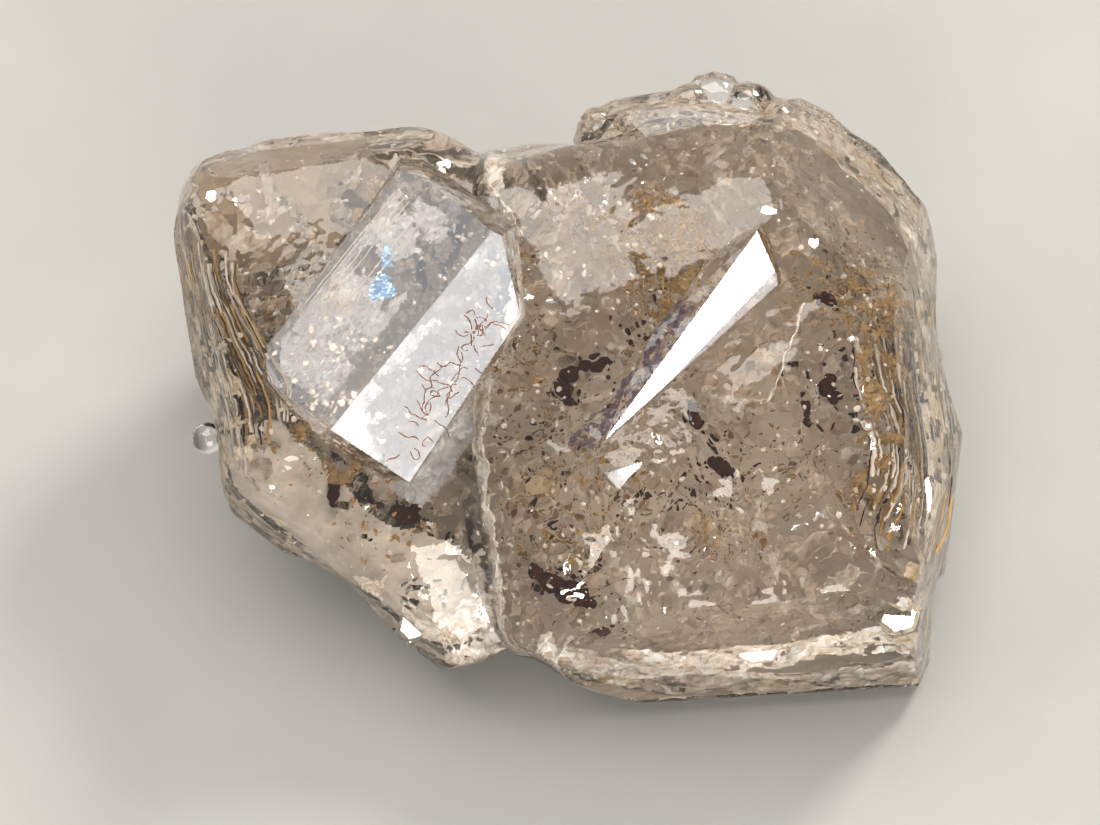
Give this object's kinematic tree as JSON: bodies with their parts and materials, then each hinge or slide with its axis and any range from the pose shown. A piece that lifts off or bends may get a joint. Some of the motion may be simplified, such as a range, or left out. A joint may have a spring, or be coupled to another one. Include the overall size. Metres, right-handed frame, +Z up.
{
  "type": "tar inclusion quartz crystal",
  "caption": "Thumbnail specimen: two clear quartz crystals grown side by side with drops of dark tar sealed inside, lying on a flat underside.",
  "frame": {"origin": "centre of the bounding box's bottom, on the flat underside", "axes": "+X the long way, across both crystals; +Y away from the side that shows the crystal windows; +Z up"},
  "size_m": [0.018, 0.0125, 0.0099],
  "materials": {
    "quartz": "clear, faintly smoky and warm, glassy",
    "tar": "black-brown tar, smooth and glossy"
  },
  "bodies": {
    "root": {"quartz_lower": "quartz", "quartz_upper": "quartz", "tar_crescent": "tar", "tar_lens": "tar", "tar_bead_centre": "tar", "tar_cluster_right": "tar", "tar_pair_right": "tar", "tar_bead_upper_right": "tar", "tar_oval_left": "tar", "tar_knot_left": "tar", "tar_smudge": "tar", "tar_upper_left": "tar"}
  },
  "joints": []
}
